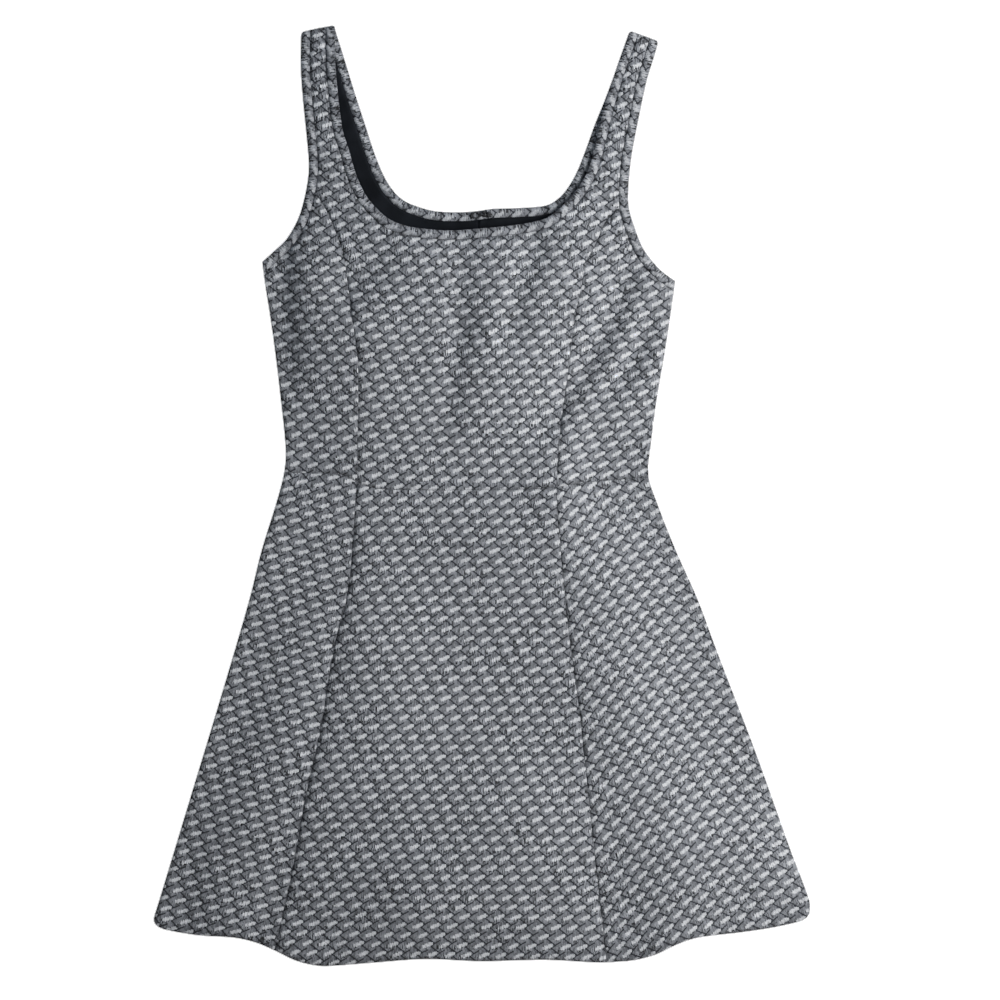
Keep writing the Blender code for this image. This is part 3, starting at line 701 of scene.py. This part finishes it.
def makeCotton(name, dark, pale):
    made, tree, shader = newMaterial(name, Roughness=0.8, Specular_IOR_Level=0.2)
    twist = noise(tree, objectPlace(tree), cotton["twistScale"], 2.0)["Fac"]
    tree.links.new(mixColours(tree, ramp(tree, twist, 0.45, 0.75), dark, pale), shader.inputs["Base Color"])
    addBump(tree, shader, twist, cotton["twistRelief"], 0.5)
    return made


knit = makeKnit("basketKnit", shift=(0, 0), squeeze=1.0, fleck=1.0, paleShare=1.0, rimShade=0.3)
# on the bands the repeat is shifted and squeezed to their width, with fainter strokes and less painted shade
# at the rim
bandKnit = makeKnit("bandKnit", shift=(0, -4.6), squeeze=0.85, fleck=0.9, paleShare=0.45, rimShade=0.15)
seamCotton = makeCotton("seamCotton", *cotton["seam"])
hookCotton = makeCotton("hookCotton", *cotton["hook"])
liningCloth = makeLiningCloth()
enamel = makeEnamel()
print("materials made")


def clothPlace(points, turn):
    # where each point lies on its own piece of cloth: turned, and with rows that slant and bend
    x0, y0, degrees, slant, bend, reach = turn
    offset = points - np.array((x0, y0)) * mm
    cos, sin = math.cos(math.radians(degrees)), math.sin(math.radians(degrees))
    u = offset[:, 0] * cos - offset[:, 1] * sin
    v = offset[:, 0] * sin + offset[:, 1] * cos
    v = v + math.tan(math.radians(slant)) * u
    v = v + math.tan(math.radians(bend)) * reach * mm * np.log(np.cosh(u / (reach * mm)))
    return np.stack([u, v], axis=1)


def bandPlace(points, line):
    # along a band and across it
    gap, place = nearestOn(points, line)
    return np.stack([place, gap], axis=1)


def cutGrid(bm, cell):
    for axis in (0, 1):
        normal = Vector((1, 0, 0)) if axis == 0 else Vector((0, 1, 0))
        places = [vert.co[axis] for vert in bm.verts]
        line = math.ceil(min(places) / cell) * cell
        while line < max(places):
            bmesh.ops.bisect_plane(
                bm, geom=bm.verts[:] + bm.edges[:] + bm.faces[:], dist=cloth["mergeReach"],
                plane_co=normal * line, plane_no=normal,
            )
            line += cell


def rollDrop(distance, radius):
    # how far a rounded edge has sunk at each distance in from it
    return radius - np.sqrt(np.maximum(0, radius ** 2 - np.maximum(0, radius - distance) ** 2))


def layPiece(
    name, sides, wall, under, cell, rings, mapping, finish, roll=cloth["roll"], dip=0.0, closing=(),
):
    # a sheet cut to its sides, laid over what is under it, given its wall and rolled at its edges
    bm = bmesh.new()
    outline = outlineOf(sides)
    face = bm.faces.new([bm.verts.new((point.x, point.y, 0)) for point in outline])
    bm.normal_update()
    before = 0.0
    for ring in rings:
        bmesh.ops.inset_region(bm, faces=[face], thickness=ring - before, use_even_offset=True)
        before = ring
    cutGrid(bm, cell)
    bmesh.ops.triangulate(bm, faces=[face for face in bm.faces if len(face.verts) > 4])
    points = np.array([vert.co[:2] for vert in bm.verts])
    edge = lineOf(outline + outline[:1])
    inside = nearestOn(points, edge)[0]
    turned = nearestEdge(points, closedEdges + ("hem",))
    drop = np.maximum(rollDrop(inside, roll), rollDrop(turned, cloth["outerRoll"]))
    drop = drop + dip * np.exp(-(inside / cloth["seamReach"]) ** 2)
    heights = under(points)
    thick = np.maximum(wall * cloth["thinnest"], wall - drop)
    if closing:
        # at the side seams and shoulders the front turns down to the back
        above = np.maximum(0, heights - cloth["knit"] - cloth["closingGap"])
        down = np.where(nearestEdge(points, closing) < cloth["closingReach"], above, 0)
        heights, thick = heights - down, thick + down
    # painted shade: the colour is darkened beside each seam and near where the cloth turns under, kept in a
    # vertex attribute
    beside = cloth["seamShadeDepth"] * np.exp(-(inside / cloth["seamShade"]) ** 2)
    paintedRimShades = np.maximum(np.exp(-turned / cloth["rimReach"]), beside)
    loft = bm.verts.layers.float.new("loft")
    paintedRimShade = bm.verts.layers.float.new("paintedRimShade")
    for vert, height, extra, paintedShadeHere in zip(bm.verts, heights, thick, paintedRimShades):
        vert.co.z = height
        vert[loft] = extra
        vert[paintedRimShade] = paintedShadeHere
    top = bmesh.ops.extrude_face_region(bm, geom=bm.faces[:])
    for item in top["geom"]:
        if isinstance(item, bmesh.types.BMVert):
            item.co.z += item[loft]
    bmesh.ops.recalc_face_normals(bm, faces=bm.faces[:])
    bm.verts.index_update()
    places = mapping(np.array([vert.co[:2] for vert in bm.verts]))
    uv = bm.loops.layers.uv.new("cloth")
    for face in bm.faces:
        face.smooth = True
        for loop in face.loops:
            loop[uv].uv = places[loop.vert.index]
    mesh = bpy.data.meshes.new(name)
    bm.to_mesh(mesh)
    bm.free()
    mesh.set_sharp_from_angle(angle=math.radians(cloth["sharpAngle"]))
    mesh.materials.append(finish)
    return addObject(name, mesh)


def standFor(piece, node):
    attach(piece, "root")
    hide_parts(node)


seam = cloth["gap"] / 2
width = cloth["bandWidth"]
inBand = width + cloth["gap"]

# each panel: its sides, how its cloth is turned (the numbers that clothPlace takes), and the flat size
# and area of its cut in metres
panels = {
    "front_bodice_centre": {
        "sides": [
            ("waist", seam, 0), ("princessRight", seam, 0), ("armholeRight", inBand, 0),
            ("shoulderRight", 0, 0), ("neckFront", inBand, 0), ("shoulderLeft", 0, 0),
            ("armholeLeft", inBand, 0), ("princessLeft", seam, 0),
        ],
        "turn": (-36.8, 153.6, 0.4, 2.0, -2.5, 60), "flat": (0.33, 0.436), "area": 0.0568,
    },
    "front_bodice_left": {
        "sides": [
            ("sideLeft", 0, 0), ("waist", seam, 0), ("-princessLeft", seam, 0), ("armholeLeft", inBand, 0),
        ],
        "turn": (-160.0, 120.0, -3.0, 7.0, -2.0, 60), "flat": (0.09, 0.273), "area": 0.0165,
    },
    "front_bodice_right": {
        "sides": [
            ("waist", seam, 0), ("sideRight", 0, 0), ("armholeRight", inBand, 0), ("-princessRight", seam, 0),
        ],
        "turn": (120.0, 130.0, 4.0, -8.0, 0.0, 60), "flat": (0.111, 0.271), "area": 0.0186,
    },
    "front_skirt_centre": {
        "sides": [
            ("hem", 0, 0), ("skirtSeamRight", seam, 0), ("-waist", seam, 0), ("skirtSeamLeft", seam, 0),
        ],
        "turn": (-10.8, -135.0, 0.9, 0.0, 0.0, 60), "flat": (0.314, 0.464), "area": 0.108,
    },
    "front_skirt_left": {
        "sides": [
            ("sideLeft", 0, lay["leftHemCorner"]), ("hem", 0, 0), ("-skirtSeamLeft", seam, 0),
            ("-waist", seam, 0),
        ],
        "turn": (-212.2, -233.2, 13.0, -2.5, 0.0, 60), "flat": (0.194, 0.457), "area": 0.0427,
    },
    "front_skirt_right": {
        "sides": [
            ("hem", 0, lay["rightHemCorner"]), ("sideRight", 0, 0), ("-waist", seam, 0),
            ("-skirtSeamRight", seam, 0),
        ],
        "turn": (192.0, -245.0, -14.5, 2.0, 9.0, 47), "flat": (0.24, 0.453), "area": 0.0636,
    },
    "back_bodice_left": {
        "sides": [
            ("sideLeft", 0, 0), ("waist", seam, 0), ("centreBack", seam, 0), ("neckBack", inBand, 0),
            ("shoulderLeft", 0, 0), ("armholeLeft", inBand, 0),
        ],
        "turn": (-100.0, 120.0, 2.0, 0.0, 0.0, 60), "flat": (0.204, 0.431), "area": 0.0517,
    },
    "back_bodice_right": {
        "sides": [
            ("waist", seam, 0), ("sideRight", 0, 0), ("armholeRight", inBand, 0), ("shoulderRight", 0, 0),
            ("neckBack", inBand, 0), ("-centreBack", seam, 0),
        ],
        "turn": (85.0, 120.0, -2.0, 0.0, 0.0, 60), "flat": (0.193, 0.432), "area": 0.0473,
    },
    "back_skirt_left": {
        "sides": [
            ("sideLeft", 0, lay["leftHemCorner"]), ("backHem", 0, 0), ("skirtCentreBack", seam, 0),
            ("-waist", seam, 0),
        ],
        "turn": (-140.0, -210.0, 6.0, 0.0, 0.0, 60), "flat": (0.303, 0.459), "area": 0.1051,
    },
    "back_skirt_right": {
        "sides": [
            ("backHem", 0, lay["rightHemCorner"]), ("sideRight", 0, 0), ("-waist", seam, 0),
            ("-skirtCentreBack", seam, 0),
        ],
        "turn": (140.0, -210.0, -6.0, 0.0, 0.0, 60), "flat": (0.322, 0.455), "area": 0.1074,
    },
}
paths["backHem"] = movedLeft(paths["hem"], lay["backHemShort"])

for name, values in panels.items():
    onFront = name.startswith("front")
    piece = layPiece(
        name + "_cloth", values["sides"], cloth["knit"],
        frontUnder if onFront else backUnder,
        cloth["panelCell"] if onFront else cloth["backCell"], cloth["panelRings"],
        lambda points, turn=values["turn"]: clothPlace(points, turn),
        knit, dip=cloth["seamDip"] if onFront else 0.0, closing=sewnEdges if onFront else (),
    )
    standFor(piece, name)
print("panels laid")

# each band: its sides, the cut line that its knit follows, and the flat size and area of its strip
bands = {
    "neck_band_front": {
        "sides": [
            ("neckFront", 0, lay["strapCorner"]), ("shoulderLeft", 0, 0),
            ("-neckFront", width, 0), ("shoulderRight", 0, lay["strapCorner"]),
        ],
        "edge": "neckFront", "flat": (0.010, 0.57), "area": 0.0047,
    },
    "neck_band_back_left": {
        "sides": [
            ("centreBack", seam, 0), ("neckBack", 0, lay["strapCorner"]), ("shoulderLeft", 0, 0),
            ("-neckBack", width, 0),
        ],
        "edge": "neckBack", "flat": (0.010, 0.27), "area": 0.0022,
    },
    "neck_band_back_right": {
        "sides": [
            ("-centreBack", seam, 0), ("-neckBack", width, 0),
            ("shoulderRight", 0, lay["strapCorner"]), ("neckBack", 0, 0),
        ],
        "edge": "neckBack", "flat": (0.010, 0.26), "area": 0.0021,
    },
}
for layer in ("front", "back"):
    bands["armhole_band_left_" + layer] = {
        "sides": [
            ("armholeLeft", 0, 0), ("sideLeft", 0, 0), ("-armholeLeft", width, 0),
            ("shoulderLeft", 0, lay["strapCorner"]),
        ],
        "edge": "armholeLeft", "flat": (0.010, 0.24), "area": 0.0020,
    }
    bands["armhole_band_right_" + layer] = {
        "sides": [
            ("armholeRight", 0, lay["strapCorner"]), ("shoulderRight", 0, 0),
            ("-armholeRight", width, 0), ("sideRight", 0, 0),
        ],
        "edge": "armholeRight", "flat": (0.010, 0.25), "area": 0.0021,
    }

for name, values in bands.items():
    onFront = name.endswith("front")
    piece = layPiece(
        name + "_cloth", values["sides"], cloth["band"],
        frontUnder if onFront else backUnder, cloth["bandCell"], cloth["bandRings"],
        lambda points, edge=values["edge"]: bandPlace(points, lineOf(paths[edge])),
        bandKnit, dip=cloth["bandDip"], closing=sewnEdges if onFront else (),
    )
    standFor(piece, name)
print("bands sewn")

# two small creases of the lining below the hook and eye, as the folds above
liningFolds = [
    (-6, 249, 0.1, -1, 256, 0.9, 3, 262, 0.3, 1.6),
    (5, 249, 0.1, 7, 255, 0.6, 10, 262, 0.2, 1.6),
]


def liningUnder(points):
    return cloth["knit"] + cloth["gap"] + sum(foldHeight(points, row) for row in liningFolds)


linings = {
    "back_lining_left": {
        "sides": [
            ("centreBack", seam, 0), ("neckBack", inBand, 0), ("shoulderLeft", lay["liningShort"], 0),
            ("-neckBack", lay["leftLiningReach"], 0),
        ],
        "flat": (0.018, 0.27), "area": 0.0046,
    },
    "back_lining_right": {
        "sides": [
            ("-centreBack", seam, 0), ("-neckBack", lay["rightLiningReach"], 0),
            ("shoulderRight", lay["liningShort"], 0), ("neckBack", inBand, 0),
        ],
        "flat": (0.0105, 0.25), "area": 0.0024,
    },
}
for name, values in linings.items():
    piece = layPiece(
        name + "_cloth", values["sides"], cloth["lining"],
        liningUnder, cloth["liningCell"], cloth["liningRings"],
        lambda points: points, liningCloth, roll=cloth["liningRoll"],
    )
    standFor(piece, name)
print("lining laid")

for name in ("hook", "eye"):
    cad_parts[name].data.materials.clear()
    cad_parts[name].data.materials.append(enamel)


def threadPiece(name, lines, radius, finish):
    data = bpy.data.curves.new(name, "CURVE")
    data.dimensions = "3D"
    data.bevel_depth = radius
    data.bevel_resolution = 1
    data.use_fill_caps = True
    for line in lines:
        spline = data.splines.new("POLY")
        spline.points.add(len(line) - 1)
        for place, point in zip(line, spline.points):
            point.co = (*place, 1)
    data.materials.append(finish)
    made = addObject(name, data)
    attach(made, "root")


seamThread = {
    "radius": 0.26 * mm,
    "lift": 0.4 * mm,          # above the bottom of the groove
    "short": 0.4 * mm,         # it stops this far inside an open edge
}


def seamLine(under, name, inset, first, last):
    # the part of a cut line between two others, at the bottom of the groove
    line = movedLeft(paths[name], inset)
    hits = sorted(crossing(line, movedLeft(paths[end], room)) for end, room in (first, last))
    inner = line[math.floor(hits[0][0]) + 1:math.ceil(hits[1][0])]
    flat = lineOf([hits[0][2]] + inner + [hits[1][2]])
    return [(x, y, z + seamThread["lift"]) for (x, y), z in zip(flat, under(flat))]


bandSeam = width + seam
short = seamThread["short"]
# each thread: its cut line, how far inside that it runs, and the two cut lines that it ends at
seams = {
    "front_seams": [
        ("princessLeft", 0, ("armholeLeft", width), ("waist", 0)),
        ("princessRight", 0, ("waist", 0), ("armholeRight", width)),
        ("waist", 0, ("sideLeft", short), ("sideRight", short)),
        ("skirtSeamLeft", 0, ("waist", 0), ("hem", short)),
        ("skirtSeamRight", 0, ("waist", 0), ("hem", short)),
        ("neckFront", bandSeam, ("shoulderLeft", short), ("shoulderRight", short)),
        ("armholeLeft", bandSeam, ("sideLeft", short), ("shoulderLeft", short)),
        ("armholeRight", bandSeam, ("sideRight", short), ("shoulderRight", short)),
    ],
    "back_seams": [
        ("centreBack", 0, ("waist", 0), ("neckBack", short)),
        ("waist", 0, ("sideLeft", short), ("sideRight", short)),
        ("skirtCentreBack", 0, ("waist", 0), ("backHem", short)),
        ("neckBack", bandSeam, ("shoulderLeft", short), ("shoulderRight", short)),
        ("armholeLeft", bandSeam, ("sideLeft", short), ("shoulderLeft", short)),
        ("armholeRight", bandSeam, ("sideRight", short), ("shoulderRight", short)),
    ],
}
for name, rows in seams.items():
    under = frontUnder if name.startswith("front") else backUnder
    threadPiece(name, [seamLine(under, *row) for row in rows], seamThread["radius"], seamCotton)

# thread that holds the hook and the eye down: middle and reach in mm, heading and spread in degrees, count
fastening = {
    "eye_stitches": ((-8.6, 262.4), 2.7, 180, 250, 13),
    "hook_stitches": ((6.6, 263.6), 2.9, 0, 320, 17),
    "shank_stitches": ((2.0, 264.2), 2.8, 90, 90, 7),
}
fasteningThread = {
    "radius": 0.42 * mm,
    "behind": 0.35,            # share of its reach that a stitch starts behind the middle
    "steps": 8,
    "low": 0.2,                # mm above the back, and how far it rises over the wire
    "rise": 2.1,
    "shares": (1.0, 0.8, 0.92),  # uneven reaches and headings, in turn
    "turns": (0, 7, -5, 3),
    "shankShift": 0.5,
}


def overStitch(middle, reach, degrees):
    # one loop of thread, from the band up over the wire and down again
    heading = Vector((math.cos(math.radians(degrees)), math.sin(math.radians(degrees))))
    behind, steps = fasteningThread["behind"], fasteningThread["steps"]
    line = []
    for step in range(steps + 1):
        x, y = Vector(middle) + heading * reach * (step / steps * (1 + behind) - behind)
        height = fasteningThread["low"] + fasteningThread["rise"] * math.sin(math.pi * step / steps)
        line.append((x * mm, y * mm, cloth["knit"] + height * mm))
    return line


shares, turns = fasteningThread["shares"], fasteningThread["turns"]
for name, (middle, reach, heading, spread, count) in fastening.items():
    lines = []
    for index in range(count):
        turn = heading + spread * (index / (count - 1) - 0.5)
        share, uneven = shares[index % len(shares)], turns[index % len(turns)]
        lines.append(overStitch(middle, reach * share, turn + uneven))
        if name == "shank_stitches":
            beside = (middle[0] + fasteningThread["shankShift"], middle[1])
            lines.append(overStitch(beside, reach, turn + 180))
    threadPiece(name, lines, fasteningThread["radius"], hookCotton)
print("seams and fastening sewn")


studio = {
    "floor": (0.2, 0.2, 0.2, 1),
    "floorSize": 4.0,
    "floorGlow": 1.75,         # a lit table, so hardly any shadow shows
    "floorDrop": 0.2 * mm,
    "sky": 0.148,
    "key": {"power": 55.0, "size": 0.9, "place": (1.12, 0.11, 0.68), "aim": (0, 0, 0), "colour": (1, 1, 1)},
    # a cool window beyond the neck
    "fill": {
        "power": 7.0, "size": 1.0, "place": (-0.3, 1.3, 0.9), "aim": (0, 0.2, 0), "colour": (0.72, 0.86, 1.0),
    },
    "cameraHeight": 3.0,
    "sensor": 36.0,            # mm
    "viewWidth": 0.9375,       # metres across the picture at the dress
    "viewMiddle": (0.0173, -0.0038),
    # the camera's response: highlights roll off before they reach white
    "response": [(0.25, 0.25), (0.5, 0.43), (0.8, 0.57), (1.1, 0.68), (1.5, 0.78)],
    "whiteAt": 1.7,
    "whiteAnswer": 1.05,
}

bm = bmesh.new()
bmesh.ops.create_grid(bm, x_segments=1, y_segments=1, size=studio["floorSize"])
bmesh.ops.translate(bm, verts=bm.verts[:], vec=(0, 0, -studio["floorDrop"]))
floorMesh = bpy.data.meshes.new("floor")
bm.to_mesh(floorMesh)
bm.free()
floor = addObject("floor", floorMesh)
paper, paperTree, paperShader = newMaterial(
    "litTable", Base_Color=studio["floor"], Roughness=0.9, Specular_IOR_Level=0.1,
    Emission_Color=(1, 1, 1, 1), Emission_Strength=studio["floorGlow"],
)
# clear from below, so that the underside of the dress can be seen
bothFaces = addNode(paperTree, "ShaderNodeMixShader", {
    0: addNode(paperTree, "ShaderNodeNewGeometry").outputs["Backfacing"], 1: paperShader.outputs[0],
    2: addNode(paperTree, "ShaderNodeBsdfTransparent").outputs[0],
})
paperTree.links.new(bothFaces.outputs[0], paperTree.nodes["Material Output"].inputs["Surface"])
floorMesh.materials.append(paper)

# the sky is dim as a light, and as white as the lit table where it shows behind the dress
world = bpy.data.worlds.new("studio")
world.use_nodes = True
skyTree = world.node_tree
dimSky = skyTree.nodes["Background"]
dimSky.inputs["Color"].default_value = (1, 1, 1, 1)
dimSky.inputs["Strength"].default_value = studio["sky"]
whiteSky = addNode(skyTree, "ShaderNodeBackground", {"Color": (1, 1, 1, 1), "Strength": studio["floorGlow"]})
skies = addNode(skyTree, "ShaderNodeMixShader", {
    0: addNode(skyTree, "ShaderNodeLightPath").outputs["Is Camera Ray"],
    1: dimSky.outputs[0], 2: whiteSky.outputs[0],
})
skyTree.links.new(skies.outputs[0], skyTree.nodes["World Output"].inputs["Surface"])
bpy.context.scene.world = world

for name in ("key", "fill"):
    values = studio[name]
    lightData = bpy.data.lights.new(name, "AREA")
    lightData.energy = values["power"]
    lightData.size = values["size"]
    lightData.color = values["colour"]
    light = addObject(name, lightData)
    light.location = values["place"]
    light.rotation_euler = (Vector(values["aim"]) - light.location).to_track_quat("-Z", "Y").to_euler()

cameraData = bpy.data.cameras.new("camera")
cameraData.sensor_width = studio["sensor"]
cameraData.lens = studio["sensor"] * studio["cameraHeight"] / studio["viewWidth"]
camera = addObject("camera", cameraData)
camera.location = (*studio["viewMiddle"], studio["cameraHeight"])
bpy.context.scene.camera = camera
view = bpy.context.scene.view_settings
view.view_transform = "Standard"
view.use_curve_mapping = True
view.curve_mapping.clip_max_x = studio["whiteAt"]
view.curve_mapping.clip_max_y = studio["whiteAt"]
response = view.curve_mapping.curves[3]
response.points[-1].location = (studio["whiteAt"], studio["whiteAnswer"])
for lit, answer in studio["response"]:
    response.points.new(lit, answer)
view.curve_mapping.update()
print("studio set")
